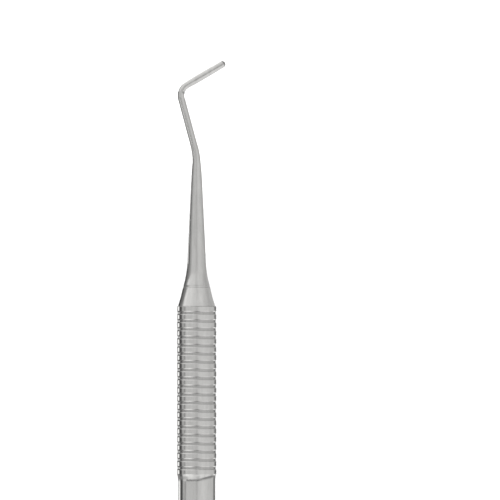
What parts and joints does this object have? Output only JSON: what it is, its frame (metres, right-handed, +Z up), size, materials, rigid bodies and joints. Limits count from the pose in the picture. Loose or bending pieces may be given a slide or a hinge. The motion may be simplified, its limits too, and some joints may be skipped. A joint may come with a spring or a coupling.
{
  "type": "dental elevator",
  "caption": "Double-ended dental hand instrument: round ridged steel handle with a tapered, twice-bent shank and a slim flat-ground blade at each end.",
  "frame": {"origin": "under the middle of the handle, on the surface that the ridges rest on", "axes": "+X along the handle towards end A, whose tip turns to -Y; +Z up out of the surface, with the bends lying flat over it"},
  "size_m": [0.18, 0.0118, 0.008],
  "materials": {
    "handle_steel": "polished stainless steel, fine turning lines round the axis",
    "cone_steel": "polished stainless steel, fine turning lines round the axis",
    "shank_steel": "satin-polished stainless steel, polished lengthwise, blade flat and tip bevel finely ground",
    "braze_filler": "bright silver-nickel brazing filler, cleaned nearly flush with the steel"
  },
  "bodies": {
    "root": {"handle_tube": "handle_steel", "nose_cone_a": "cone_steel", "nose_cone_b": "cone_steel", "braze_ring_a": "braze_filler", "braze_ring_b": "braze_filler", "working_end_a": "shank_steel", "working_end_b": "shank_steel"}
  },
  "joints": []
}
